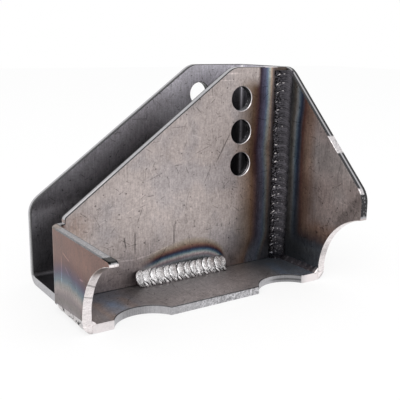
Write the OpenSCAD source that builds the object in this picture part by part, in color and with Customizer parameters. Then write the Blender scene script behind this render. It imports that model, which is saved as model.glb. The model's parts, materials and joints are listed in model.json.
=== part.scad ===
// Track bar bracket: two bent steel plates welded into an open box that saddles an axle tube.
// Millimetres, +Z up. The origin is the middle of the footprint, on the underside of the floor.
// -Y is the side that faces the axle tube.

/* [Sheet] */
// Thickness of the steel sheet
sheet_t = 4.76; // [3:0.01:7]
// Inside radius of every bend
bend_r = 3; // [1:0.1:6]
// Gap between each end of the floor and the side wall beside it, filled by a corner weld
root_gap = 0.5; // [0.2:0.1:1.5]

/* [Box] */
// Clear width between the two side walls
inside_w = 148.4; // [135:0.1:175]
// Height of the plates at the bolt holes
height = 125.2; // [118:0.1:150]
// Clear gap between the front and back plates, where the track bar eye sits
pocket_w = 40; // [25:0.5:60]
// Depth of the floor in front of the front plate
tray_d = 36.9; // [30:0.1:45]
// Reach of the side walls in front of the front plate
wall_reach = 67.6; // [55:0.1:72]

/* [Plate outline] */
// Angle of the sloped upper edge of both plates
slope_deg = 35.6; // [32:0.1:38]
// Height of the sloped edge at the left end of the floor
slope_foot = 47.6; // [45:0.1:58]
// Radius of the large outline corners
corner_r = 12.7; // [4:0.1:15]
// Radius of the small corner at the foot of the front plate's slope
foot_r = 2; // [0.5:0.1:4]

/* [Bolt holes] */
// Diameter of the track bar bolt holes
hole_d = 14.3; // [10:0.1:17]
// Number of bolt holes, one above the other
hole_count = 3; // [1:1:3]
// Distance between hole centres
hole_pitch = 19.45; // [17.5:0.05:24]
// Height of the lowest hole centre
low_hole_z = 68.1; // [50:0.1:70]
// Distance from the hole centres to the right side wall
hole_inset = 33.4; // [24:0.1:42]

/* [Axle tube saddle] */
// Diameter of the axle tube that the side walls are cut to fit
tube_d = 76.2; // [70:0.1:80]
// Height of the tube's centre above the underside of the floor
tube_z = 6.6; // [3:0.1:9]

/* [Side walls] */
// Angle of the right wall's sloped front edge
brow_deg = 45; // [38:0.5:48]
// Distance that the right wall's level top runs past the front plate
shoulder_d = 0.8; // [0:0.1:6]
// Step from the foot of the front plate's slope down to the top of the left wall
wall_step = 3.1; // [2.5:0.1:5]
// Radius of the left wall's tip
tip_r = 2.4; // [0.5:0.1:2.5]

/* [Floor notches] */
// Radius of the two round notches in the front edge of the floor
notch_r = 19; // [15:0.1:22]
// Depth of the notches
notch_depth = 9.8; // [5:0.1:14]
// Distance between the notch centres
notch_pitch = 91.2; // [70:0.1:100]

/* [Welds] */
// Width of the upright and floor welds on the front plate
weld_on_plate = 9.3; // [5:0.1:12]
// Width of the same welds on the wall or floor that the plate meets
weld_on_mate = 5.4; // [4:0.1:8]
// Height of the convex weld faces above a flat fillet
weld_crown = 1.2; // [0.5:0.1:2]
// Length of the floor weld
floor_weld_len = 62; // [30:0.5:90]
// Radius of the blunt weld ends
weld_end_r = 4; // [1:0.1:5]
// Distance from the upright weld to the top of the plates
weld_top_gap = 2; // [1:0.1:10]
// Radius to which the outside corners along the floor are welded up and dressed
outer_r = 8; // [5:0.1:10]
// Size of the small bead that the corner welds leave inside the box
root_bead = 2.2; // [1:0.1:3.5]
// Height of that bead's face above a flat fillet
root_crown = 0.4; // [0.1:0.1:0.6]

/* [Hidden] */
$fn = 96;
// Overshoot of cutting shapes
past = 1;

bend_out = bend_r + sheet_t;
depth = wall_reach + sheet_t + pocket_w + sheet_t;
half_in = inside_w / 2;
half_out = half_in + sheet_t;
half_floor = half_in - root_gap;

y_tip = -depth / 2;
y_rear = depth / 2;
y_front = y_tip + wall_reach;
y_floor = y_front - tray_d;
tube_y = y_floor - tube_d / 2;

// Places where the flat stretches of the plates run into their bends
front_bend_x = bend_out - half_out;
front_bend_y = y_front + sheet_t - bend_out;
rear_bend_x = half_out - bend_out;
rear_bend_y = y_rear - bend_out;

crest = [(height - slope_foot) / tan(slope_deg) - half_floor, height];
left_wall_top = slope_z(front_bend_x) - wall_step;
hole_x = half_in - hole_inset;

// Height of the plates' sloped edge at a given x
function slope_z(x) = slope_foot + (x + half_floor) * tan(slope_deg);

function unit(v) = v / norm(v);

// Sliver between an outline's corner and the arc of radius r that rounds it.
// The points before and after give the directions of the two edges.
module corner_sliver(before, corner, after, r) {
    u = unit(before - corner);
    v = unit(after - corner);
    inward = unit(u + v);
    half = acos(u * v) / 2;
    centre = corner + inward * r / sin(half);
    difference() {
        polygon([corner + u * r / tan(half), corner - inward * past, corner + v * r / tan(half), centre]);
        translate(centre) circle(r);
    }
}

// Rectangle with its corner at the origin rounded
module eased_corner(leg_x, leg_y, r) {
    difference() {
        square([leg_x, leg_y]);
        corner_sliver([leg_x, 0], [0, 0], [0, leg_y], r);
    }
}

// Section of a bent sheet: outer corner at the origin, legs along +X and +Y
module angle_section(leg_x, leg_y) {
    difference() {
        eased_corner(leg_x, leg_y, bend_out);
        translate([sheet_t, sheet_t]) eased_corner(leg_x, leg_y, bend_r);
    }
}

// Section of a weld: root at the origin, legs along +X and +Y, convex face
module bead_section(leg_x, leg_y, crown) {
    chord = norm([leg_x, leg_y]);
    face_r = (chord * chord / 4 + crown * crown) / (2 * crown);
    outward = [leg_y, leg_x] / chord;
    intersection() {
        square([leg_x, leg_y]);
        translate([leg_x, leg_y] / 2 - outward * (face_r - crown)) circle(face_r);
    }
}

// Bar with its two far corners rounded: the near edge lies on the X axis
module blunt_bar(x_from, x_to, reach, r) {
    difference() {
        translate([x_from, 0]) square([x_to - x_from, reach]);
        corner_sliver([x_from, 0], [x_from, reach], [x_to, reach], r);
        corner_sliver([x_from, reach], [x_to, reach], [x_to, 0], r);
    }
}

// Extrudes a shape drawn in Y and Z along X
module along_x(from, to) {
    translate([from, 0, 0]) rotate([90, 0, 90]) linear_extrude(to - from) children();
}

// Extrudes a shape drawn in X and Z along Y
module along_y(from, to) {
    translate([0, to, 0]) rotate([90, 0, 0]) linear_extrude(to - from) children();
}

// Extrudes a shape drawn in X and Y along Z
module along_z(from, to) {
    translate([0, 0, from]) linear_extrude(to - from) children();
}

// Outline of the flat part of the front or back plate, in X and Z
module plate_outline(left_x, right_x, bottom_z, foot_radius) {
    foot = [left_x, slope_z(left_x)];
    difference() {
        polygon([[left_x, bottom_z], [right_x, bottom_z], [right_x, height], crest, foot]);
        corner_sliver(foot, crest, [right_x, height], corner_r);
        corner_sliver([left_x, bottom_z], foot, crest, foot_radius);
    }
}

// Round of the axle tube, in Y and Z
module tube_round() {
    translate([tube_y, tube_z]) circle(d = tube_d);
}

// Outline of the right wall, in Y and Z
module right_wall_outline() {
    top_rear = [y_rear, height];
    shoulder = [y_front - shoulder_d, height];
    brow = [y_tip, height - (wall_reach - shoulder_d) * tan(brow_deg)];
    toe = [y_tip, sheet_t];
    difference() {
        polygon([[y_rear, sheet_t], top_rear, shoulder, brow, toe]);
        corner_sliver(top_rear, shoulder, brow, corner_r);
        corner_sliver(shoulder, brow, toe, corner_r);
        tube_round();
    }
}

// Outline of the left wall, in Y and Z
module left_wall_outline() {
    rear = y_front + sheet_t;
    tip = [y_tip, left_wall_top];
    toe = [y_tip, sheet_t];
    difference() {
        polygon([[rear, sheet_t], [rear, left_wall_top], tip, toe]);
        corner_sliver([rear, left_wall_top], tip, toe, tip_r);
        tube_round();
    }
}

// Track bar bolt holes, through both plates
module bolt_holes() {
    for (i = [0 : hole_count - 1])
        translate([hole_x, y_front - past, low_hole_z + i * hole_pitch])
            rotate([-90, 0, 0])
                cylinder(d = hole_d, h = y_rear - y_front + 2 * past);
}

// Round notches in the front edge of the floor
module floor_notches() {
    for (side = [-1, 1])
        translate([side * notch_pitch / 2, y_floor - notch_r + notch_depth, -past])
            cylinder(r = notch_r, h = sheet_t + 2 * past);
}

// Open corner where the floor's bend and the right wall's bend would run into each other
module corner_relief() {
    size = bend_out + past;
    translate([rear_bend_x, rear_bend_y, -past]) cube(size);
}

// Sliver dressed off the right outside corner along the floor, in X and Z
module outside_sliver() {
    corner_sliver([half_out, height], [half_out, 0], [0, 0], outer_r);
}

// What is dressed off the plates along the two corner welds
module dressed_corners() {
    along_y(y_floor - past, rear_bend_y) outside_sliver();
    mirror([1, 0, 0]) along_y(y_floor - past, front_bend_y) outside_sliver();
}

// Section of the right corner weld, between the end of the floor and the bottom of the wall
module corner_weld_section() {
    difference() {
        translate([half_floor, 0]) square([half_out - half_floor, sheet_t]);
        outside_sliver();
    }
}

// Section of the bead that the right corner weld leaves inside the box
module root_section() {
    translate([half_in, sheet_t]) mirror([1, 0]) bead_section(root_gap + root_bead, root_bead, root_crown);
}

// Back plate with the floor and the right wall bent from the same sheet
module back_plate() {
    color("#5f5a58")
    difference() {
        union() {
            intersection() {
                along_z(sheet_t, height)
                    translate([half_out, y_rear]) rotate(180) angle_section(half_out + half_floor, depth);
                union() {
                    along_y(y_rear - sheet_t - past, y_rear + past)
                        plate_outline(-half_floor, rear_bend_x, bend_out, corner_r);
                    along_x(rear_bend_x, half_out + past) right_wall_outline();
                }
            }
            difference() {
                along_x(-half_floor, half_floor)
                    translate([y_rear, 0]) mirror([1, 0]) angle_section(y_rear - y_floor, bend_out);
                floor_notches();
            }
        }
        corner_relief();
        dressed_corners();
        bolt_holes();
    }
}

// Front plate with the left wall bent from the same sheet
module front_plate() {
    color("#9a918c")
    difference() {
        intersection() {
            along_z(sheet_t, height)
                translate([-half_out, y_front + sheet_t])
                    mirror([0, 1]) angle_section(half_out + half_in, sheet_t + wall_reach);
            union() {
                along_y(y_front - past, y_front + sheet_t + past)
                    plate_outline(front_bend_x, half_in + past, 0, foot_r);
                along_x(-half_out - past, front_bend_x + past) left_wall_outline();
            }
        }
        dressed_corners();
        bolt_holes();
    }
}

// Upright weld between the front plate and the right wall
module side_weld() {
    color("#2f2d2e")
    intersection() {
        along_z(sheet_t, height - weld_top_gap)
            translate([half_in, y_front]) rotate(180) bead_section(weld_on_plate, weld_on_mate, weld_crown);
        along_y(y_front - weld_on_mate, y_front)
            translate([half_in, 0]) rotate(90)
                blunt_bar(0, height - weld_top_gap, weld_on_plate, weld_end_r);
        along_x(half_in - weld_on_plate, half_in)
            translate([y_front, 0]) rotate(90)
                blunt_bar(0, height - weld_top_gap, weld_on_mate, weld_end_r);
    }
}

// Stitch weld between the front plate and the floor
module floor_weld() {
    half_len = floor_weld_len / 2;
    color("#c9c9c9")
    intersection() {
        along_x(-half_len, half_len)
            translate([y_front, sheet_t]) mirror([1, 0]) bead_section(weld_on_mate, weld_on_plate, weld_crown);
        along_y(y_front - weld_on_mate, y_front)
            translate([0, sheet_t]) blunt_bar(-half_len, half_len, weld_on_plate, weld_end_r);
        along_z(sheet_t, sheet_t + weld_on_plate)
            translate([0, y_front]) mirror([0, 1]) blunt_bar(-half_len, half_len, weld_on_mate, weld_end_r);
    }
}

// Outside corner weld between the left wall and the floor
module left_corner_weld() {
    color("#a8a4a2")
    mirror([1, 0, 0]) along_y(y_floor, front_bend_y) {
        corner_weld_section();
        root_section();
    }
}

// Outside corner weld between the right wall and the floor
module right_corner_weld() {
    color("#a8a4a2") {
        along_y(y_floor, rear_bend_y) corner_weld_section();
        along_y(y_floor, y_front - weld_on_mate) root_section();
    }
}

back_plate();
front_plate();
side_weld();
floor_weld();
left_corner_weld();
right_corner_weld();
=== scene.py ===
"""Looks of the track bar bracket: two bent steel sheets and four weld beads, dressed around the CAD frame.

Every length in a shader or a list is in millimetres of the part's own frame, and a mesh is in metres.
"""

import json
import math
import random

import bpy
from bpy.props import FloatProperty, FloatVectorProperty, PointerProperty
from bpy.types import Operator, Panel, PropertyGroup
from mathutils import Matrix, Vector

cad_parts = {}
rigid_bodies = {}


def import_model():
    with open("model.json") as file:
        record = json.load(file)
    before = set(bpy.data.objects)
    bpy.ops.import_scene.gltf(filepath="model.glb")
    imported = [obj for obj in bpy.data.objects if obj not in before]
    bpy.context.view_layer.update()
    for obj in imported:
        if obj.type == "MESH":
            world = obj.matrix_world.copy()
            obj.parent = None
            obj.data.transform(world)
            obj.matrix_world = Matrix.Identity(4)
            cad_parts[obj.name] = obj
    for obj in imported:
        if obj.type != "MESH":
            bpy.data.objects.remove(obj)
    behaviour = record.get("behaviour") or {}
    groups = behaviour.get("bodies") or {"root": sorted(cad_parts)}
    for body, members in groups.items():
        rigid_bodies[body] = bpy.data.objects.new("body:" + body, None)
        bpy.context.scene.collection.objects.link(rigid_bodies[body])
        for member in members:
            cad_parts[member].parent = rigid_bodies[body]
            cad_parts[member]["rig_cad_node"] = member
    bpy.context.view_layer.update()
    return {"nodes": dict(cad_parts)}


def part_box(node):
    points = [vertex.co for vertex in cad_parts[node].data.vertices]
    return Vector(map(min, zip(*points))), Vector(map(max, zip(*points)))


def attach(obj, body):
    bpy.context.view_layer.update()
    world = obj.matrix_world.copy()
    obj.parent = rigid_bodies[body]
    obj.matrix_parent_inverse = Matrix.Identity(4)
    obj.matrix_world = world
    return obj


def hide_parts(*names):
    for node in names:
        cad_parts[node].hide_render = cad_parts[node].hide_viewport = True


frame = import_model()

bl_info = {
    "name": "Track bar bracket looks",
    "version": (1, 0, 0),
    "blender": (4, 5, 0),
    "location": "View3D > Sidebar > Bracket",
    "description": "Dresses the sheets and weld beads of a track bar bracket, and lights it",
    "category": "Object",
}

MM = 0.001


def node_box(node):
    """Lowest and highest corner of a CAD node, in millimetres."""
    low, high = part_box(node)
    return low / MM, high / MM


BACK_LOW, BACK_HIGH = node_box("back_plate")
SIDE_LOW, SIDE_HIGH = node_box("side_weld")
STITCH_LOW, STITCH_HIGH = node_box("floor_weld")

WALL_X = SIDE_HIGH.x
PLATE_Y = SIDE_HIGH.y
FLOOR_Z = STITCH_LOW.z
SHEET = FLOOR_Z - BACK_LOW.z
LEFT_WALL_X = node_box("front_plate")[0].x
BACK_FACE_Y = BACK_HIGH.y - SHEET
BEND = SHEET + 3.2
FLOOR_EDGE_Y = node_box("left_corner_weld")[0].y
CORNER_R = 8.0
WALL_MIDDLE = 76.6
BEAD_HALF = 5.4

# Where the ripples of a corner bead are centred.
CORNER_RIPPLE_X = 75.91
CORNER_RIPPLE_Z = 3.05

# The axle tube's axis and radius.
TUBE_Y = -65.96
TUBE_Z = 6.6
TUBE_R = 38.1

# The sloped top of the plates: a point on it, its rise and the cosine of its angle.
SLOPE_X = -73.7
SLOPE_Z = 47.6
SLOPE_RISE = 0.716
SLOPE_COSINE = 0.813


def srgb(red, green, blue):
    """A colour as a screen shows it, 0 to 255, turned into the linear colour that a shader uses."""
    linear = []
    for channel in (red, green, blue):
        share = channel / 255
        linear.append(share / 12.92 if share <= 0.04045 else ((share + 0.055) / 1.055) ** 2.4)
    return tuple(linear)


def shade(name, text, colour):
    """A colour that a user may change."""
    return FloatVectorProperty(name=name, description=text, default=srgb(*colour), subtype="COLOR",
                               size=3, min=0.0, max=1.0)


def length(name, text, millimetres):
    """A length that a user may change."""
    return FloatProperty(name=name, description=text, default=millimetres * MM, unit="LENGTH",
                         precision=5, min=0.0)


class BracketSizes(PropertyGroup):
    """Sizes of the dressing that the solids leave plain."""

    edge_break: length("Edge break", "Width of the chamfer on every cut edge of a sheet", 0.32)
    stitch_pitch: length("Stitch pitch", "Distance from ripple to ripple on the floor bead", 4.4)
    climb_pitch: length("Climb pitch", "Distance from ripple to ripple on the side bead", 5.3)
    corner_pitch: length("Corner pitch", "Distance from ripple to ripple on the corner beads", 3.0)
    bead_grain: length("Bead grain", "Size of the finest step in a bead's mesh", 0.27)
    ripple_tilt: FloatProperty(name="Ripple tilt", description="How far a ripple leans on the one before it",
                               default=math.radians(24), subtype="ANGLE")


class BracketFinish(PropertyGroup):
    """Colours of the bare steel, its heat tints and its welds."""

    steel: shade("Bare steel", "Both sheets' open faces", (186, 175, 172))
    cool: shade("Cool steel", "Greyer clouds on the open faces", (174, 166, 166))
    scale: shade("Mill scale", "The grey skin inside the pocket", (228, 225, 234))
    # Heat-dulled steel and painted shade at the front sheet's foot.
    heated_and_shaded_foot: shade("Dull steel", "The foot of the front sheet", (140, 130, 130))
    # Also the colour of painted highlights: the side bead's bright ticks and glints, and white highlights on
    # the cut edges.
    bare: shade("Fresh cut", "The cut-outs for the axle tube, and ground spots", (240, 233, 233))
    brown: shade("Heat brown", "Steel that the welds have browned", (112, 86, 70))
    soot: shade("Soot", "The blackened inside corner", (26, 26, 29))
    cut: shade("Cut edge", "The sheets' cut edges", (178, 177, 180))
    stitch: shade("Bright bead", "The floor bead", (214, 212, 213))
    climb: shade("Dark bead", "The side bead's oxide", (66, 64, 68))
    corner: shade("Dressed bead", "The outside corner beads", (205, 201, 201))


class BracketStage(PropertyGroup):
    """The camera and the lamps."""

    place: FloatVectorProperty(name="Camera place", description="Where the camera stands",
                               default=(-0.197664, -0.305435, 0.13893), subtype="TRANSLATION", size=3)
    azimuth: FloatProperty(name="Azimuth", description="Camera's heading, clockwise from the part's rear",
                           default=math.radians(33.722), subtype="ANGLE")
    dip: FloatProperty(name="Dip", description="How far the camera looks down",
                       default=math.radians(13.322), subtype="ANGLE")
    roll: FloatProperty(name="Roll", description="Camera's roll about its own axis",
                        default=math.radians(0.863), subtype="ANGLE")
    lens: FloatProperty(name="Lens", description="Focal length on a 36 mm frame", default=59.985,
                        unit="CAMERA")
    sky: FloatProperty(name="Sky", description="Level of the even white light", default=1.0, min=0.0)
    key: FloatProperty(name="Key lamp", description="Power of the large lamp at the upper left",
                       default=5.0, unit="POWER", min=0.0)


class Wire:
    """A shader socket that takes part in Python expressions, which add Math nodes to its tree."""

    def __init__(self, tree, socket):
        self.tree = tree
        self.socket = socket

    def node(self, kind, settings, sockets, output=0):
        """Adds a node, makes its settings, gives its sockets values or links, and returns one output."""
        made = self.tree.nodes.new(kind)
        for name, value in settings.items():
            if name == "stops":
                elements = made.color_ramp.elements
                while len(elements) < len(value):
                    elements.new(1.0)
                for element, (place, colour) in zip(elements, value):
                    element.position = place
                    element.color = (*colour, 1.0)
            else:
                setattr(made, name, value)
        for key, value in sockets.items():
            if isinstance(value, Wire):
                self.tree.links.new(value.socket, made.inputs[key])
            else:
                made.inputs[key].default_value = value
        return Wire(self.tree, made.outputs[output])

    def math(self, operation, *values):
        """One Math node on up to three values."""
        return self.node("ShaderNodeMath", {"operation": operation}, dict(enumerate(values)))

    def __add__(self, other):
        return self.math("ADD", self, other)

    __radd__ = __add__

    def __sub__(self, other):
        return self.math("SUBTRACT", self, other)

    def __rsub__(self, other):
        return self.math("SUBTRACT", other, self)

    def __mul__(self, other):
        return self.math("MULTIPLY", self, other)

    __rmul__ = __mul__

    def __truediv__(self, other):
        return self.math("DIVIDE", self, other)

    def __rtruediv__(self, other):
        return self.math("DIVIDE", other, self)

    def __pow__(self, other):
        return self.math("POWER", self, other)

    def __abs__(self):
        return self.math("ABSOLUTE", self)

    def least(self, other):
        """The lower of two values."""
        return self.math("MINIMUM", self, other)

    def most(self, other):
        """The higher of two values."""
        return self.math("MAXIMUM", self, other)

    def fract(self):
        """What is left past the last whole number."""
        return self.math("FRACT", self)

    def clamped(self):
        """The value held between 0 and 1."""
        return self.least(1.0).most(0.0)

    def rise(self, low, high):
        """0 below low and 1 above high, eased between them; a falling edge has low above high."""
        return self.node("ShaderNodeMapRange", {"interpolation_type": "SMOOTHSTEP"},
                         {"Value": self, "From Min": low, "From Max": high})

    def within(self, low, high, ease):
        """1 between two values and 0 outside them, eased at both ends."""
        return self.rise(low - ease, low + ease) * self.rise(high + ease, high - ease)

    def ramp(self, stops):
        """A colour from a row of stops."""
        return self.node("ShaderNodeValToRGB", {"stops": stops}, {0: self})


def blend(factor, first, second):
    """Two colours mixed by a factor."""
    first = first if isinstance(first, Wire) else (*first, 1.0)
    second = second if isinstance(second, Wire) else (*second, 1.0)
    return factor.node("ShaderNodeMix", {"data_type": "RGBA"},
                       {0: factor, 6: first, 7: second}, 2)


def lit(colour, level):
    """A colour made lighter or darker by a value near 1."""
    return level.node("ShaderNodeVectorMath", {"operation": "SCALE"}, {0: colour, "Scale": level})


def parts(point):
    """A point's three coordinates."""
    made = point.node("ShaderNodeSeparateXYZ", {}, {0: point})
    outputs = made.socket.node.outputs
    return [Wire(point.tree, output) for output in outputs]


def joined(x, y, z):
    """A point from three coordinates."""
    wired = next(value for value in (x, y, z) if isinstance(value, Wire))
    return wired.node("ShaderNodeCombineXYZ", {}, {0: x, 1: y, 2: z})


def stretched(point, scales=(1.0, 1.0, 1.0), shift=(0.0, 0.0, 0.0)):
    """A point scaled and moved, so that a pattern on it is stretched."""
    return point.node("ShaderNodeMapping", {}, {"Vector": point, "Location": shift, "Scale": scales})


def noise(point, scale, detail=2.0, rough=0.5):
    """Soft noise from 0 to 1, centred on a half."""
    return point.node("ShaderNodeTexNoise", {}, {"Vector": point, "Scale": scale, "Detail": detail,
                                                 "Roughness": rough})


def cells(flat, size, shift):
    """The way from the nearest of a scatter of points, one to a square, and that point's three draws."""
    moved = stretched(flat, shift=shift)
    nearest = moved.node("ShaderNodeTexVoronoi", {"voronoi_dimensions": "2D"},
                         {"Vector": moved, "Scale": 1 / size})
    outputs = nearest.socket.node.outputs
    way = moved.node("ShaderNodeVectorMath", {"operation": "SUBTRACT"},
                     {0: moved, 1: Wire(moved.tree, outputs["Position"])})
    return parts(way)[:2], parts(Wire(moved.tree, outputs["Color"]))


def nicks(flat, size, shift, width, share):
    """1 on short straight scratches strewn at all angles, in a share of the squares of a size."""
    (across, up), (turn, reach, drawn) = cells(flat, size, shift)
    angle = turn * math.pi
    cosine = angle.math("COSINE", angle)
    sine = angle.math("SINE", angle)
    along = abs(across * cosine + up * sine)
    aside = abs(up * cosine - across * sine)
    half = reach * (0.4 * size) + 0.12 * size
    drawn = drawn.rise(1 - share, 1.02 - share)
    return aside.rise(width, width * 0.3) * along.rise(half, half * 0.6) * drawn


def pits(flat, size, shift, radius, share):
    """1 in small round pits, in a share of the squares of a size."""
    (across, up), (_, reach, drawn) = cells(flat, size, shift)
    away = (across ** 2.0 + up ** 2.0) ** 0.5
    wide = reach * radius + radius * 0.5
    return away.rise(wide, wide * 0.4) * drawn.rise(1 - share, 1.02 - share)


def scratch(across, up, start, end, width):
    """1 on a straight scratch between two points, fading at its sides and ends."""
    run = (end[0] - start[0], end[1] - start[1])
    square = run[0] ** 2 + run[1] ** 2
    along = (((across - start[0]) * run[0] + (up - start[1]) * run[1]) / square).clamped()
    side = (across - start[0] - along * run[0]) ** 2.0
    height = (up - start[1] - along * run[1]) ** 2.0
    away = (side + height) ** 0.5
    return away.rise(width, width * 0.3) * along.within(0.12, 0.88, 0.12)


def scratches(across, up, rows):
    """1 on any of a row of straight scratches."""
    marks = None
    for start, end, width in rows:
        mark = scratch(across, up, start, end, width)
        marks = mark if marks is None else marks.most(mark)
    return marks


def new_material(name):
    """An empty material, its shader node and its Object coordinates in millimetres."""
    material = bpy.data.materials.new(name)
    material.use_nodes = True
    tree = material.node_tree
    shader = tree.nodes["Principled BSDF"]
    coordinates = tree.nodes.new("ShaderNodeTexCoord")
    metres = Wire(tree, coordinates.outputs["Object"])
    point = metres.node("ShaderNodeVectorMath", {"operation": "SCALE"}, {0: metres, "Scale": 1 / MM})
    return material, shader, point


def wire_up(shader, colour, rough, metal, height=None, depth=0.0002, strength=0.3):
    """Links a surface's varying values to its shader."""
    links = colour.tree.links
    links.new(colour.socket, shader.inputs["Base Color"])
    for name, value in (("Roughness", rough), ("Metallic", metal)):
        if isinstance(value, Wire):
            links.new(value.socket, shader.inputs[name])
        else:
            shader.inputs[name].default_value = value
    if height is not None:
        bump = height.node("ShaderNodeBump", {}, {"Height": height, "Strength": strength, "Distance": depth})
        links.new(bump.socket, shader.inputs["Normal"])


# Dark cuts and pale rubs that stand out, each with its two ends and its half width.
PLATE_SCRATCHES = (
    ((-37.4, 34.5), (-36.3, 26.8), 0.7),
    ((-30.6, 37.5), (-30.7, 23.0), 0.8),
    ((-5.4, 38.6), (-5.3, 23.6), 0.7),
    ((22.4, 69.2), (34.1, 89.0), 0.6),
)

PLATE_RUBS = (
    ((-41.0, 20.8), (-30.0, 20.2), 0.6),
    ((-31.0, 20.2), (-19.0, 21.9), 0.6),
    ((-20.0, 21.7), (-8.0, 25.4), 0.5),
    ((8.0, 121.6), (42.0, 121.6), 0.7),
    ((14.0, 117.4), (38.0, 118.0), 0.4),
)

WALL_RUBS = (
    ((-3.6, 35.5), (-3.0, 18.0), 0.8),
    ((-4.9, 36.5), (-14.7, 33.7), 0.6),
    ((-25.2, 28.7), (-32.1, 28.9), 0.6),
    ((-8.0, 30.0), (-13.5, 26.0), 0.5),
)

# How untinted steel looks on the front plate, on the left wall and in the tray.
OPEN_STEEL = (172, 163, 161)
WALL_STEEL = (200, 192, 190)
TRAY_STEEL = (125, 116, 114)


def tints(over, low, high, bands):
    """Ramp stops for a row of heat tints, each a place and its look on steel of a given look."""
    plain_steel = srgb(*over)
    stops = []
    for place, *look in bands:
        share = [min(1.0, tint / steel) for tint, steel in zip(srgb(*look), plain_steel)]
        stops.append(((place - low) / (high - low), tuple(share)))
    return stops


# Heat tints on the plate by the distance from the right wall: smoked, straw, silver, blue, purple, brown.
CLIMB_TINTS = tints(OPEN_STEEL, 8.0, 37.0, (
    (8, 90, 80, 75), (10, 105, 95, 95), (11.5, 170, 150, 135), (13, 155, 165, 160), (14.5, 100, 115, 135),
    (16, 80, 80, 100), (19.5, 50, 40, 50), (21, 65, 45, 45), (24, 95, 75, 60), (28, 135, 120, 110),
    (37, *OPEN_STEEL)))

# The same on the right wall by the distance from the plate, on darker steel.
WALL_TINTS = tints(TRAY_STEEL, 4.0, 30.0, (
    (5, 65, 65, 65), (8, 80, 75, 70), (10, 110, 110, 110), (11.5, 85, 95, 105), (13, 50, 60, 75),
    (14, 35, 40, 55), (15.5, 60, 55, 60), (17, 75, 50, 45), (20, 100, 80, 70), (23.5, 120, 100, 90),
    (30, *TRAY_STEEL)))

# Over the floor bead by the height above its dark blue band: smoked, straw, silver, blue, brown and bare.
STITCH_TINTS = tints(OPEN_STEEL, -7.0, 8.0, (
    (-7, 70, 75, 75), (-5, 125, 130, 135), (-4, 130, 120, 125), (-3, 170, 160, 160), (-2, 145, 160, 160),
    (-1, 80, 105, 125), (0, 55, 60, 80), (1, 80, 60, 65), (2.5, 125, 95, 85), (4, 145, 130, 115),
    (6, 165, 155, 145), (8, *OPEN_STEEL)))

# Up the left wall: bare, straw, silver, blue, purple and brown.
LEFT_WALL_TINTS = tints(WALL_STEEL, 0.0, 50.0, (
    (8, 195, 190, 190), (11, 175, 170, 165), (14, 175, 165, 165), (17, 200, 190, 185), (19.5, 180, 180, 175),
    (22, 130, 150, 160), (25, 105, 110, 130), (27, 105, 90, 110), (32, 125, 95, 90), (37, 140, 110, 100)))

# Painted shade in the pocket: how light its scale is painted, from its open left end to the holes.
PAINTED_POCKET_SHADE = tuple(((x + 75) / 115, (level,) * 3) for x, level in (
    (-70, 0.24), (-48, 0.56), (-10, 0.76), (10, 0.78), (26, 0.98), (40, 1.0)))

SMOKE = tuple(tint / steel for tint, steel in zip(srgb(94, 99, 104), srgb(*OPEN_STEEL)))


def steel_skin(point, flat):
    """Brightness and height that bare steel has everywhere: clouds, mottling, grain, nicks and pits."""
    cloud = noise(point, 0.04, 4.0, 0.6) - 0.5
    mottle = noise(point, 0.3, 3.0, 0.65) - 0.5
    grain = noise(stretched(point, (1.1, 1.1, 0.15)), 1.0, 3.0, 0.6) - 0.5
    fine = noise(point, 0.95, 3.0, 0.75) - 0.5
    marks = (nicks(flat, 15.0, (3.0, 8.0, 0.0), 0.34, 0.6) * 0.36).most(
        nicks(flat, 6.5, (40.0, 21.0, 0.0), 0.34, 0.5) * 0.4)
    marks = marks.most(pits(flat, 6.0, (13.0, 90.0, 0.0), 0.46, 0.35) * 0.6)
    pale = nicks(flat, 9.0, (71.0, 55.0, 0.0), 0.3, 0.45).most(pits(flat, 7.0, (5.0, 31.0, 0.0), 0.45, 0.3))
    level = 1.0 + cloud * 0.6 + mottle * 0.4 + grain * 0.8 + fine * 1.15 - marks + pale * 0.25
    height = mottle * 0.3 + grain * 0.3 + fine * 0.6 - marks * 1.5
    return level, height


def unevenness(point):
    """Two noises about 0 that bend the edges of heat tints: a broad one and a finer one."""
    wave = noise(stretched(point, (0.16, 0.16, 0.05)), 1.0, 3.0) - 0.5
    ragged = noise(stretched(point, (0.5, 0.5, 0.3)), 1.0, 3.0) - 0.5
    return wave, ragged


def washed(colour, cover, tint):
    """A colour times a tint, where cover is 1."""
    tint = blend(cover, (1.0, 1.0, 1.0), tint)
    return tint.node("ShaderNodeMix", {"data_type": "RGBA", "blend_type": "MULTIPLY"},
                     {0: 1.0, 6: colour, 7: tint}, 2)


def tinted(colour, place, low, high, stops, cover, veil=None):
    """A colour under a row of heat tints, where cover is 1, which smoke veils."""
    tint = ((place - low) / (high - low)).ramp(stops)
    if veil is not None:
        tint = blend(veil, tint, SMOKE)
    return washed(colour, cover, tint)


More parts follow.
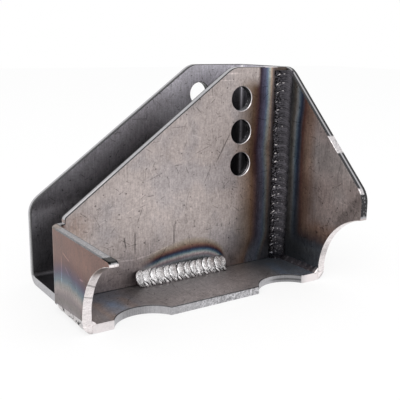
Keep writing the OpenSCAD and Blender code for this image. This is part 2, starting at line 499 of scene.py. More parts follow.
def front_material(finish):
    """The front sheet: pale bare steel, browned and blued beside the beads, with painted light and shade on
    it.
    """
    material, shader, point = new_material("front sheet steel")
    x, y, z = parts(point)
    wall = x.rise(LEFT_WALL_X + BEND + 1.0, LEFT_WALL_X + BEND - 2.0)
    level, height = steel_skin(point, joined(x * (1 - wall) + y * wall, z, 0.0))
    wave, ragged = unevenness(point)
    tone = noise(stretched(point, shift=(30.0, 0.0, 9.0)), 0.035, 3.0)
    base = blend(tone.rise(0.42, 0.6), finish.steel, finish.cool)
    # Darker towards the foot: heat-dulled steel and painted shade.
    base = blend(z.rise(34.0, 6.0), base, finish.heated_and_shaded_foot)
    gap = WALL_X - x
    # Painted light: the plate is painted lighter in a pool at its middle, beside the right wall and on the
    # left wall, against the shade there.
    painted_light_pool = (((x + 12.0) / 32.0) ** 2.0 + ((z - 56.0) / 20.0) ** 2.0) ** 0.5
    painted_lift = (gap.rise(34.0, 26.0) * z.rise(68.0, 58.0)).most(gap.rise(23.5, 21.0)).most(wall)
    colour = lit(base, level * (0.87 + (painted_light_pool.rise(1.5, 0.2) * 0.16).most(painted_lift * 0.13)))

    # Heat bands up the left wall, and browning beside it.
    arched = z + ((y + 14.0) ** 2.0) * 0.0085 + wave * 3.0
    colour = tinted(colour, arched, 0.0, 50.0, LEFT_WALL_TINTS, wall)
    browned = x.rise(-52.0, -66.0) * z.within(37.0, 50.0, 6.0) * (1 - wall) * (ragged + 0.6)
    colour = washed(colour, browned.clamped(), (0.88, 0.72, 0.62))

    # Heat bands beside the side bead.
    away = gap + wave * 1.2 + ragged * 0.8 - z.rise(24.0, 5.0) * 5.0
    away = away - (z.within(62.0, 84.0, 9.0) + z.within(70.0, 100.0, 8.0) * 0.8) * gap.rise(10.0, 15.0)
    shown = (1 - wall) * (1.0 - z.rise(112.0, 121.0) * away.rise(19.5, 22.0))
    veil = away.rise(18.8, 17.2) * z.rise(90.0, 30.0) * 0.35
    veil = veil.most(away.rise(26.0, 20.0) * (z.rise(72.0, 50.0) * 0.16 + z.rise(24.0, 8.0) * 0.6))
    colour = tinted(colour, away, 8.0, 37.0, CLIMB_TINTS, shown, veil)
    # Darker beside the side bead, most near its top and in its middle; lighter along a pale thread and in
    # patches further out.
    darker_by_bead = away.rise(17.0, 11.5) * (z.rise(112.0, 90.0) * 0.36 + z.rise(60.0, 25.0) * 0.16)
    thread = noise(joined(x * 2.6, z * 0.12, 0.0), 1.0, 2.0).rise(0.58, 0.68)
    thread = thread * gap.within(16.5, 21.0, 1.0) * z.within(26.0, 84.0, 8.0)
    lighter_patches = z.within(84.0, 104.0, 6.0) * gap.rise(25.5, 23.0) * gap.rise(9.0, 12.0)
    lighter_patches = lighter_patches.most(z.within(42.0, 60.0, 6.0) * gap.within(20.0, 27.0, 1.5))
    colour = lit(colour, (1.0 - darker_by_bead * (1 - wall)) * (1.0 + thread * 0.9) * (1.0 + lighter_patches * 0.35))

    # Heat bands over the floor bead, on an arch, with soot at the bead's two ends.
    left = (8.0 - x).most(0.0) ** 2.0
    right = (x - 8.0).most(0.0) ** 2.0
    ridge = 20.4 - left * 0.0045 - right * 0.006 - (right ** 2.0) * 0.000024
    cover = x.rise(-31.0, -16.0) * x.rise(32.0, 28.0)
    above = z - ridge + wave * 0.9 + ragged * 0.5
    above = above.least(0.0) + above.most(0.0) * (abs(x - 4.0) * 0.016 + 1.0)
    colour = tinted(colour, above, -7.0, 8.0, STITCH_TINTS, cover)
    colour = lit(colour, 1.0 + above.within(-5.6, -1.8, 0.5) * cover * 0.25)
    end = (((x - 33.0) * 0.8) ** 2.0 + (z - 8.0) ** 2.0) ** 0.5 + ragged * 4.0
    start = (((x + 32.0) * 0.8) ** 2.0 + (z - 9.0) ** 2.0) ** 0.5 + ragged * 4.0
    colour = lit(colour, 1.0 - end.rise(9.0, 2.0).most(start.rise(8.0, 2.0)) * 0.45)

    # Soot and painted shade around the inside corner, and the plate's foot painted lighter, a painted
    # reflection of the floor.
    corner = ((WALL_X - x) ** 2.0 + ((z - FLOOR_Z) * 0.8) ** 2.0) ** 0.5 + ragged * 6.0
    colour = lit(colour, 1.0 - corner.rise(50.0, 37.0) * away.rise(22.0, 30.0) * 0.4)
    colour = lit(colour, 1.0 + z.rise(17.0, 6.0) * gap.rise(48.0, 40.0) * 0.9)

    cuts = scratches(x, z, PLATE_SCRATCHES) * (1 - wall)
    rubs = scratches(x, z, PLATE_RUBS) * (1 - wall)
    rubs = rubs.most(scratches(y, z, WALL_RUBS) * wall)
    colour = lit(colour, 1.0 - cuts * 0.5 + rubs * (0.4 + wall * 0.5))
    wire_up(shader, colour, 0.42 + (level - 1.0) * 0.15, 0.95, height - cuts)
    return material


def back_material(finish):
    """The back sheet: dark in the pocket, where shade is painted on the mill scale, brown-grey in the tray,
    pale outside.
    """
    material, shader, point = new_material("back sheet steel")
    x, y, z = parts(point)
    side = x.rise(WALL_X - 3.0, WALL_X - 1.0)
    upright = z.rise(FLOOR_Z + 1.0, FLOOR_Z + 4.0)
    flat = joined(x * (1 - side) + y * side, z * upright + y * (1 - upright), 0.0)
    level, height = steel_skin(point, flat)
    wave, ragged = unevenness(point)
    outside = y.rise(BACK_FACE_Y + 1.5, BACK_FACE_Y + 3.2)
    outside = outside.most(x.rise(WALL_X + 1.5, WALL_X + 3.2)).most(z.rise(FLOOR_Z - 1.5, FLOOR_Z - 3.2))
    inside = 1 - outside
    pocket = y.rise(PLATE_Y + 2.0, PLATE_Y + 6.0) * inside
    colour = lit(blend(pocket, finish.steel, finish.scale), level)
    # Painted shade: the pocket's scale is painted darker the deeper it lies under the sloped top, and darker
    # again at the top right behind the holes.
    deep = ((SLOPE_Z + (x - SLOPE_X) * SLOPE_RISE - z) * SLOPE_COSINE).least(BACK_HIGH.z - z)
    fall = 0.0454 - x.rise(5.0, 28.0) * 0.017
    glow = (1.09 - deep * fall).least(1.1 - x.rise(18.0, 36.0) * 0.26).most(0.3)
    painted_pocket_shade = lit(((x + 75.0) / 115.0).ramp(PAINTED_POCKET_SHADE), glow)
    painted_pocket_shade = lit(painted_pocket_shade, 1.0 - x.rise(54.0, 63.0) * z.rise(120.0, 110.0) * 0.6)
    colour = washed(colour, pocket, painted_pocket_shade)
    # A painted highlight: a thin light line down the inside bend into the right wall.
    painted_bend_highlight = (abs(x - y - (WALL_X - BACK_FACE_Y))).rise(0.6, 0.25) * pocket
    colour = lit(colour, 1.0 + painted_bend_highlight * (0.9 + z.rise(88.0, 108.0) * 0.8))

    # The right wall: heat bands, painted shade low down near the plate, a darker tongue near its tip, and
    # grime around its cut-out.
    wall = side * inside * (1 - pocket)
    away = PLATE_Y - y + wave * 1.2 + ragged * 0.8
    place = away - z.rise(88.0, 104.0) * 1.5
    place = place.math("SMOOTH_MIN", place, (z - FLOOR_Z) * 0.9 + wave * 4.0 + ragged * 2.0, 7.0)
    veil = (away.rise(19.0, 16.5) * z.rise(70.0, 24.0) * 0.5).most((z + ragged * 4.0).rise(34.0, 14.0))
    colour = tinted(colour, place, 4.0, 30.0, WALL_TINTS, wall, veil)
    foot = (z + ragged * 6.0).rise(34.0, 12.0) * away.rise(36.0, 18.0) * 0.3
    tongue = (43.3 - z) * 0.652 - (y + 42.7) * 0.758 + ragged * 5.0
    tongue = tongue.rise(-1.5, 1.0) * tongue.rise(18.0, 4.0) * y.rise(-36.0, -42.0)
    colour = lit(colour, 1.0 - wall * (foot + tongue * 0.38))
    rim = ((y - TUBE_Y) ** 2.0 + (z - TUBE_Z) ** 2.0) ** 0.5 - TUBE_R
    grime = noise(point, 0.42, 3.0, 0.75).rise(0.54, 0.63) * rim.within(3.0, 10.0, 3.0) * z.rise(24.0, 32.0)
    haze = noise(stretched(point, shift=(0.0, 40.0, 7.0)), 0.065, 4.0, 0.6) - 0.5
    stroke = noise(joined(y * 1.4, z * 0.1, 0.0), 1.0, 2.0).rise(0.55, 0.66)
    stroke = stroke * z.within(12.0, 24.0, 5.0) * y.within(-27.0, -14.0, 4.0)
    colour = lit(colour, 1.0 + wall * (haze * z.rise(30.0, 46.0) * 1.1 - grime * 0.55 + stroke * 0.6))
    # A painted shadow: a darker band across the right wall's middle.
    painted_shadow_band = away.within(21.0, 32.0, 4.0) * z.rise(68.0, 56.0) * z.rise(30.0, 44.0)
    colour = lit(colour, 1.0 - wall * painted_shadow_band * 0.26)
    pale = z.within(63.0, 84.0, 8.0).most(y.within(-46.0, -36.0, 6.0) * z.within(50.0, 60.0, 6.0))
    colour = washed(colour, wall * pale, (1.02, 1.09, 1.11))

    # The floor of the tray.
    tray = (1 - upright) * inside * (1 - pocket)
    # Painted shade on the tray's floor: darker towards both ends and towards the plate, and lighter towards
    # its front edge.
    painted_floor_shade = x.rise(-6.0, -52.0) * 0.34 + x.rise(24.0, 46.0) * 0.16
    painted_floor_shade = painted_floor_shade + y.rise(-8.0, 4.0) * 0.2 - y.rise(-6.0, -22.0) * 0.2
    colour = lit(colour, 1.0 - painted_floor_shade * tray)
    colour = washed(colour, tray, (0.95, 1.02, 1.06))
    blued = tray * (x.within(-62.0, -44.0, 8.0).most(x.rise(44.0, 62.0))) * (0.7 + wave)
    colour = washed(colour, blued.clamped(), (0.74, 0.94, 1.18))
    # Light blue streaks across the floor, near the right wall and at its left end: a painted reflection.
    band = abs(x - (y + 1.5) * 0.3 - 59.5 + wave * 6.0).rise(5.0, 1.0) * y.rise(6.0, -2.0)
    band = band.most(abs(x + 53.5 + wave * 4.0).rise(4.0, 0.5) * y.within(-14.0, -4.0, 4.0))
    colour = washed(colour, band * tray, (0.98, 1.1, 1.22))
    warm = abs(x + 53.5 + wave * 4.0).within(5.0, 10.0, 2.0) * x.rise(-36.0, -44.0) * y.rise(2.0, -6.0)
    colour = washed(colour, warm * tray, (1.2, 1.02, 0.88))
    # Soot and painted shade towards the inside corner of the plate, the right wall and the floor.
    corner = (WALL_X - x) ** 2.0 + (PLATE_Y - y) ** 2.0 + ((z - FLOOR_Z) * 0.6) ** 2.0
    corner = corner ** 0.5 + ragged * 6.0
    colour = lit(colour, 1.0 - corner.rise(46.0, 14.0) * inside * (1 - pocket) * 0.3)
    wire_up(shader, colour, 0.45 + (level - 1.0) * 0.15, 0.95, height)
    return material


def cut_material(finish):
    """The cut edges: brighter than the skin, with fine drag lines through the sheet, painted shade along
    their borders and painted highlights.
    """
    material, shader, point = new_material("cut edge steel")
    x, y, z = parts(point)
    wall = abs(x).rise(WALL_X - 0.6, WALL_X)
    low = z.rise(FLOOR_Z + 0.4, FLOOR_Z) * (1 - wall)
    upright = (1 - wall) * (1 - low)
    drag = noise(joined(x * (1.6 - wall * 1.55), y * (1.6 - upright * 1.55), z * (1.6 - low * 1.55)),
                 1.0, 3.0, 0.6)
    fine = noise(point, 1.3, 4.0, 0.7)
    tube = ((y - TUBE_Y) ** 2.0 + (z - TUBE_Z) ** 2.0) ** 0.5
    saddle = wall * (abs(tube - TUBE_R)).rise(1.2, 0.6)
    colour = blend(saddle, finish.cut, finish.bare)
    left = saddle * x.rise(1.0, -1.0)
    right = saddle - left
    stain = noise(point, 0.3, 3.0, 0.7).rise(0.42, 0.62)
    browned = left * (z.rise(33.0, 37.0) * 0.75 + z.rise(19.0, 25.0) * stain * 0.12)
    browned = browned + right * z.rise(38.0, 42.0) * 0.4
    colour = blend(browned.clamped(), colour, finish.brown)
    slash = abs(z + (x + WALL_MIDDLE) * 0.5 - 27.5).rise(0.7, 0.3)
    slash = slash.most(abs(z + (x + WALL_MIDDLE) * 0.3 - 20.5).rise(0.5, 0.2))
    grey = left * (slash * 0.45 + z.rise(21.0, 25.0) * 0.08 + stain * 0.05)
    grey = grey + right * (z.within(15.0, 22.0, 4.0) * 0.3 + stain * 0.12)
    colour = lit(colour, 1.0 - grey)

    # Painted shade: dark lines along the borders of the upright plates' edges, on both sides of the right
    # wall's top and along the left wall's ledge, and painted shade with glints in the holes' bores. The
    # right wall's tip, the left wall's nose and the back sheet's top edge are darker.
    front = y.rise(PLATE_Y + SHEET + 1.0, PLATE_Y + SHEET + 0.5)
    top = z.rise(124.5, 124.9) * upright
    bore = x.within(32.0, 49.5, 0.2) * z.within(60.0, 115.0, 0.2) * upright
    borders = y.rise(PLATE_Y + 0.95, PLATE_Y + 0.65)
    borders = borders + y.rise(PLATE_Y + SHEET - 1.2, PLATE_Y + SHEET - 0.8) * front
    borders = (borders + y.within(BACK_FACE_Y - 1, BACK_FACE_Y + 2.2, 0.3)) * upright * (1 - bore)
    brow = x.rise(WALL_X - 0.5, WALL_X) * z.rise(45.0, 48.0)
    across = abs(x - (WALL_X + SHEET * 0.46))
    brow_line = brow * across.rise(0.35, 0.8)
    ledge = x.rise(-WALL_X + 0.2, -WALL_X - 0.2) * z.rise(44.0, 45.5)
    ledge_line = x.rise(LEFT_WALL_X + 1.2, LEFT_WALL_X + 0.8).most(x.rise(-WALL_X - 0.9, -WALL_X - 0.6))
    ledge_line = ledge * ledge_line
    patch = z.within(79.0, 87.5, 0.4).most(z.within(58.6, 61.6, 0.3) * x.rise(WALL_X + 2.6, WALL_X + 2.0))
    tip = brow * z.rise(58.6, 58.2)
    nose = x.rise(-WALL_X, -WALL_X - 0.5) * y.rise(-50.5, -51.5)
    border = (borders + brow_line * (1 - patch * 0.7) + tip + nose * z.rise(45.4, 45.9)).clamped()
    glint = noise(point, 0.9, 2.0).rise(0.56, 0.66)
    colour = lit(colour, 1.0 + (drag - 0.5) * 0.6 + (fine - 0.5) * 0.8)
    colour = lit(colour, 1.0 - border * (0.9 - glint * tip * 0.5) - ledge_line * 0.5)
    colour = lit(colour, 1.0 + ledge * ((fine - 0.5) * 1.6 + (drag - 0.5) * 0.8 - 0.17))
    colour = lit(colour, 1.0 - bore * y.rise(PLATE_Y + 0.25, PLATE_Y + 0.45) * (0.93 - glint * 0.35))
    colour = lit(colour, 1.0 - top * (1 - front) * 0.75)

    # The floor's front edge, torn along its straight runs and dark in its notches.
    straight = y.rise(FLOOR_EDGE_Y + 1.2, FLOOR_EDGE_Y + 0.7)
    torn = noise(point, 0.85, 3.0, 0.8)
    rough_edge = low * straight * x.rise(-46.0, 16.0) * x.rise(44.0, 40.0)
    colour = lit(colour, 1.0 + rough_edge * (torn.rise(0.52, 0.64) * 0.7 - torn.rise(0.5, 0.38) * 0.5))
    notch = low * (1 - straight) * y.rise(20.0, 10.0)
    streak = z.within(1.5, 2.4, 0.5) * x.rise(40.0, 50.0) * 0.4
    notch_darkness = x.rise(42.0, 52.0) * 0.4 + x.within(-54.0, -38.0, 5.0) * 0.3 + streak
    colour = lit(colour, 1.0 - notch * notch_darkness)
    colour = lit(colour, 1.0 - low * y.rise(20.0, 10.0) * z.rise(4.1, 4.4) * 0.75)
    tanned = ledge * y.rise(1.0, 6.0)
    colour = washed(colour, tanned, (1.0, 0.84, 0.72))

    # Spots painted white: ground spots on the right wall's top, the left wall's nose and the floor edge's
    # corners, and painted highlights on the front plate's top edge, on the holes' front rims and on the
    # front plate's sloped edge.
    speckle = noise(point, 1.1, 3.0, 0.7).rise(0.4, 0.56)
    white = (brow * patch * (0.2 + speckle * 0.55)).most(nose * z.rise(45.4, 44.9) * (0.6 + speckle * 0.4))
    white = white.most(top * front * x.within(57.5, 67.0, 0.8))
    white = white.most(low * straight * x.rise(-54.0, -60.0) * (0.9 - stain * 0.15))
    white = white.most(low * straight * x.rise(56.0, 67.0))
    white = white.most(bore * y.rise(PLATE_Y + 0.45, PLATE_Y + 0.3) * 0.6)
    shine = y.within(PLATE_Y + 1.2, PLATE_Y + 2.0, 0.2) * 0.7
    white = white.most(front * upright * z.within(50.0, 70.0, 4.0) * shine)
    colour = blend(white, colour, finish.bare)
    wire_up(shader, colour, 0.34, 1.0, drag + fine * 0.5)
    return material


def ripple_phase(along, across, bow):
    """How far along a bead a point is, measured on crescents that bow towards the bead's start."""
    return along - across * across * bow


def stitch_material(finish):
    """The floor bead: bright metal in crescents, with painted highlights on their rims and painted shade
    where they overlap.
    """
    material, shader, point = new_material("bright bead")
    x, y, z = parts(point)
    bend = point.node("ShaderNodeNewGeometry", {}, {}, "Pointiness")
    ragged = noise(point, 0.5, 3.0) - 0.5
    across = (y - (STITCH_LOW.y + PLATE_Y) / 2) * 0.5 + (z - (FLOOR_Z + STITCH_HIGH.z) / 2) * 0.86
    across = across / BEAD_HALF
    phase = ripple_phase(x, across, 3.4) + ragged * 1.6
    line = (phase / 1.1).fract().rise(0.35, 0.0)
    fine = noise(joined(phase * 1.3, y * 0.5, z * 0.5), 1.0, 4.0, 0.75)
    glint = noise(point, 0.8, 2.0).rise(0.52, 0.6)
    toe = across.rise(-0.1, -0.6)
    # Painted light: rims and glints are painted lighter, and grooves, crescent lines and the toe are painted
    # in shade; both ends are darker.
    level = 0.92 + bend.rise(0.505, 0.53) * 0.35 - bend.rise(0.5, 0.484) * 0.75 - line * 0.45
    level = level + (fine - 0.5) * 1.9 + glint * 0.35 - toe * (1 - glint) * 0.35
    level = level * (1.0 - x.rise(14.0, 30.0) * 0.35 - x.rise(-25.0, -31.0) * (toe * 0.3 + 0.25))
    colour = lit(tuple(finish.stitch), level.most(0.04).least(1.25))
    wire_up(shader, colour, 0.2, 1.0, fine - line * 0.4, 0.0004, 0.6)
    return material


def climb_material(finish, pitch):
    """The side bead: near-black oxide in fine crescents, with painted highlights: bright ticks along its
    edge on the plate, lighter rims and white glints.
    """
    material, shader, point = new_material("dark bead")
    x, y, z = parts(point)
    bend = point.node("ShaderNodeNewGeometry", {}, {}, "Pointiness")
    ragged = noise(point, 0.4, 3.0) - 0.5
    across = ((x - (SIDE_LOW.x + WALL_X) / 2) * 0.86 - (y - (SIDE_LOW.y + PLATE_Y) / 2) * 0.5) / BEAD_HALF
    phase = ripple_phase(0.0 - z, across, 2.4) + ragged * 2.2
    saw = (phase / 1.3).fract()
    fine = noise(joined(phase * 1.6, x * 0.5, y * 0.5), 1.0, 4.0, 0.7)
    toe = across.rise(-0.1, -0.5)
    beat = (phase / pitch).fract()
    # Painted highlights: a lighter rim on each ripple, bright ticks along two lines and white glint specks.
    rim = beat.within(0.1, 0.4, 0.1)
    lines = across.within(-0.75, -0.4, 0.1) + across.within(-0.15, 0.1, 0.1) * 0.6
    tick = beat.within(0.04, 0.14, 0.03) * lines
    tick = tick * noise(point, 0.6, 2.0).rise(0.48, 0.58)
    speck = noise(stretched(point, shift=(5.0, 9.0, 1.0)), 1.1, 2.0)
    glint_specks = speck.rise(0.61, 0.72) * (toe * 0.45 + z.rise(80.0, 50.0) * 0.3).clamped() * (0.25 + rim * 0.75)
    # Painted highlights on convex ridges and painted shade in concave hollows over the oxide's crescents;
    # darker towards the floor.
    level = 0.72 + rim * 0.42 + (saw - 0.5) * 0.6 + (fine - 0.5) * 1.8
    level = level + bend.rise(0.5, 0.55) * 0.4 - bend.rise(0.5, 0.46) * 0.6
    level = level - speck.rise(0.52, 0.4) * (toe * 0.8 + 0.15) + across.rise(0.1, 0.7) * 0.5
    level = level * (1.0 - z.rise(34.0, 12.0) * 0.5)
    colour = lit(tuple(finish.climb), level.most(0.05))
    colour = blend((tick * 0.8 + glint_specks).clamped(), colour, finish.bare)
    wire_up(shader, colour, 0.36, 1.0, saw * 0.6 + fine, 0.00025, 0.5)
    return material


def corner_material(finish):
    """The outside corner beads: bright metal with dark hollows, blackened on the tray's side."""
    material, shader, point = new_material("dressed bead")
    x, y, z = parts(point)
    fine = noise(point, 0.9, 4.0, 0.7)
    hollow = noise(point, 0.45, 2.0).rise(0.54, 0.64)
    end = y.rise(FLOOR_EDGE_Y + 0.5, FLOOR_EDGE_Y + 0.2)
    inner = abs(x).rise(74.6, 74.2) * z.rise(FLOOR_Z - 0.2, FLOOR_Z) * (1 - end) * y.rise(-26.5, -24.5)
    far = x.rise(-10.0, 10.0)
    colour = blend(far, finish.corner, finish.cut)
    colour = blend(hollow * (1 - end) * (1.0 - far * 0.75), colour, finish.soot)
    colour = blend(end, colour, finish.bare)
    colour = blend(inner * (0.95 - noise(point, 0.7, 2.0).rise(0.6, 0.7) * 0.2), colour, finish.climb)
    colour = lit(colour, (1.0 + (fine - 0.5) * 0.7) * (1.0 + inner * 0.6))
    wire_up(shader, colour, 0.34, 1.0, fine, 0.0002, 0.5)
    return material


def seen_rays(tree):
    """1 for rays that the camera sees straight, in a reflection or through glass, and 0 for the rest."""
    path = Wire(tree, tree.nodes.new("ShaderNodeLightPath").outputs["Is Camera Ray"])
    outputs = path.socket.node.outputs
    mirrored = Wire(tree, outputs["Is Glossy Ray"])
    through = Wire(tree, outputs["Is Transmission Ray"])
    return path.most(mirrored).most(through)


def floor_material():
    """A white floor that keeps a soft shadow."""
    material = bpy.data.materials.new("white floor")
    material.use_nodes = True
    tree = material.node_tree
    tree.nodes.clear()
    seen = seen_rays(tree)
    paint = seen.node("ShaderNodeBsdfDiffuse", {}, {"Color": (0.92, 0.92, 0.92, 1)})
    glow = seen.node("ShaderNodeEmission", {}, {"Color": (1, 1, 1, 1), "Strength": 1.0})
    mixed = seen.node("ShaderNodeMixShader", {}, {0: seen * 0.75, 1: paint, 2: glow})
    output = tree.nodes.new("ShaderNodeOutputMaterial")
    tree.links.new(mixed.socket, output.inputs["Surface"])
    return material


def alone(piece):
    """Selects one object and makes it active."""
    bpy.ops.object.select_all(action="DESELECT")
    piece.select_set(True)
    bpy.context.view_layer.objects.active = piece


def edit_mesh(action):
    """Opens the active object's mesh, with all or none of it selected."""
    bpy.ops.object.mode_set(mode="EDIT")
    bpy.ops.mesh.select_all(action=action)


def copy_of(node, name):
    """A merged copy of a CAD node, to be dressed in its place."""
    alone(frame["nodes"][node])
    bpy.ops.object.duplicate()
    piece = bpy.context.active_object
    piece.name = name
    piece.data.name = name
    del piece["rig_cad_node"]
    piece.data.materials.clear()
    bpy.ops.mesh.customdata_custom_splitnormals_clear()
    edit_mesh("SELECT")
    bpy.ops.mesh.remove_doubles(threshold=1e-6)
    bpy.ops.object.mode_set(mode="OBJECT")
    return piece


def modify(piece, kind, **settings):
    """Adds a modifier with its settings and applies it."""
    alone(piece)
    bpy.ops.object.modifier_add(type=kind)
    modifier = piece.modifiers[-1]
    for name, value in settings.items():
        setattr(modifier, name, value)
    bpy.ops.object.modifier_apply(modifier=modifier.name)


def seat(piece, node):
    """Gives a finished piece its place in the frame."""
    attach(piece, "root")
    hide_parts(node)


def finish_of(node, centre, normal):
    """Which finish a sheet's face has: 0 for the rolled skin, 1 for a cut edge, 2 for a dressed corner."""
    near = 0.06
    flat = 0.999
    if node == "front_plate":
        planes = (("y", PLATE_Y), ("y", PLATE_Y + SHEET), ("x", LEFT_WALL_X), ("x", LEFT_WALL_X + SHEET))
        bends = ((centre.x < LEFT_WALL_X + BEND and centre.y > PLATE_Y + SHEET - BEND, normal.z),)
    else:
        planes = (("y", BACK_FACE_Y), ("y", BACK_HIGH.y), ("x", WALL_X), ("x", BACK_HIGH.x),
                  ("z", FLOOR_Z), ("z", BACK_LOW.z))
        bends = ((centre.x > BACK_HIGH.x - BEND and centre.y > BACK_HIGH.y - BEND, normal.z),
                 (centre.z < BEND and centre.y > BACK_HIGH.y - BEND, normal.x))
    for axis, place in planes:
        if abs(getattr(normal, axis)) > flat and abs(getattr(centre, axis) - place) < near:
            return 0
    if any(inside and abs(slant) < 0.02 for inside, slant in bends):
        return 0
    rounded = abs(math.hypot(abs(centre.x) - (BACK_HIGH.x - CORNER_R), centre.z - CORNER_R) - CORNER_R) < 0.3
    return 2 if rounded and abs(normal.y) < 0.5 and centre.z < CORNER_R else 1


def dressed_sheet(node, name, metals, edge_break):
    """A copy of a sheet with its edges broken and its cut edges in their own finish."""
    piece = copy_of(node, name)

    # Slivers and nearly flat edges go first, so that only true edges are broken.
    bpy.ops.object.mode_set(mode="EDIT")
    bpy.ops.mesh.select_mode(type="EDGE")
    bpy.ops.mesh.select_all(action="SELECT")
    bpy.ops.mesh.dissolve_degenerate(threshold=0.00018)
    bpy.ops.mesh.dissolve_limited(angle_limit=math.radians(0.6))
    bpy.ops.mesh.select_all(action="DESELECT")
    bpy.ops.mesh.edges_select_sharp(sharpness=math.radians(40))
    bpy.ops.object.mode_set(mode="OBJECT")
    mesh = piece.data
    for metal in metals:
        mesh.materials.append(metal)
    for face in mesh.polygons:
        face.material_index = finish_of(node, face.center / MM, face.normal)

    # The foot's corners stay unbroken, where the corner beads lie.
    for edge in mesh.edges:
        middle = (mesh.vertices[edge.vertices[0]].co + mesh.vertices[edge.vertices[1]].co) / 2 / MM
        if abs(middle.x) > WALL_X - 4.5 and middle.z < CORNER_R + 0.6:
            edge.select = False
    bpy.ops.object.mode_set(mode="EDIT")
    bpy.ops.mesh.bevel(offset=edge_break, segments=1, affect="EDGES", material=1, clamp_overlap=False)
    bpy.ops.object.mode_set(mode="OBJECT")
    for vertex in mesh.vertices:
        vertex.co.z = max(vertex.co.z, BACK_LOW.z * MM)
    bpy.ops.object.shade_smooth_by_angle(angle=math.radians(28))
    return piece


def add_ripples(piece, start, end, pitch, across, outward, half_width, thick, reach, tilt, seed, stray=0.08,
                slant=0.0):
    """Adds a row of leaning, overlapping puddles to a bead, each a flattened ball, newest at the end."""
    draw = random.Random(seed)
    path = end - start
    run = path.normalized()
    count = round(path.length / pitch)
    alone(piece)
    edit_mesh("DESELECT")
    for index in range(count):
        place = start + run * pitch * (index + 0.5 + draw.uniform(-stray, stray))
        lean = tilt * draw.uniform(0.7, 1.3)
        forward = run * math.cos(slant) + across * math.sin(slant)
        sideways = across * math.cos(slant) - run * math.sin(slant)
        long_axis = forward * math.cos(lean) - outward * math.sin(lean)
        up_axis = outward * math.cos(lean) + forward * math.sin(lean)
        turn = Matrix((long_axis, sideways, up_axis)).transposed()
        size = (pitch * reach * draw.uniform(0.95, 1.1), half_width * draw.uniform(0.95, 1.05),
                thick * draw.uniform(0.9, 1.12))
        bpy.ops.mesh.primitive_uv_sphere_add(segments=28, ring_count=16, radius=MM, location=place * MM,
                                             rotation=turn.to_euler(), scale=size)
    bpy.ops.object.mode_set(mode="OBJECT")


def slim(piece, root, share):
    """Shrinks a bead's core towards its root, so that the ripples make its face."""
    alone(piece)
    edit_mesh("SELECT")
    bpy.ops.transform.resize(value=share, center_override=root * MM)
    bpy.ops.object.mode_set(mode="OBJECT")


def trim(piece, place, normal):
    """Cuts away what is past a plane, closes the cut, and leaves single faces that point outward."""
    alone(piece)
    edit_mesh("SELECT")
    bpy.ops.mesh.bisect(plane_co=Vector(place) * MM, plane_no=normal, use_fill=True, clear_outer=True,
                        threshold=1e-6)
    bpy.ops.object.mode_set(mode="OBJECT")
    piece.data.validate()
    edit_mesh("SELECT")
    bpy.ops.mesh.normals_make_consistent(inside=False)
    bpy.ops.object.mode_set(mode="OBJECT")


def fuse(piece, grain, material):
    """Melts a bead and its ripples into one skin."""
    modify(piece, "REMESH", mode="VOXEL", voxel_size=grain, use_smooth_shade=True)
    modify(piece, "SMOOTH", factor=0.5, iterations=1)
    piece.data.materials.clear()
    piece.data.materials.append(material)


class BRACKET_OT_sheets(Operator):
    """Dress the two bent sheets"""

    bl_idname = "bracket.sheets"
    bl_label = "Dress the sheets"

    def execute(self, context):
        sizes = context.scene.bracket_sizes
        finish = context.scene.bracket_finish
        edges = (cut_material(finish), corner_material(finish))
        front = dressed_sheet("front_plate", "front_sheet", (front_material(finish), *edges),
                              sizes.edge_break)
        seat(front, "front_plate")
        back = dressed_sheet("back_plate", "back_sheet", (back_material(finish), *edges),
                             sizes.edge_break)
        seat(back, "back_plate")
        return {"FINISHED"}


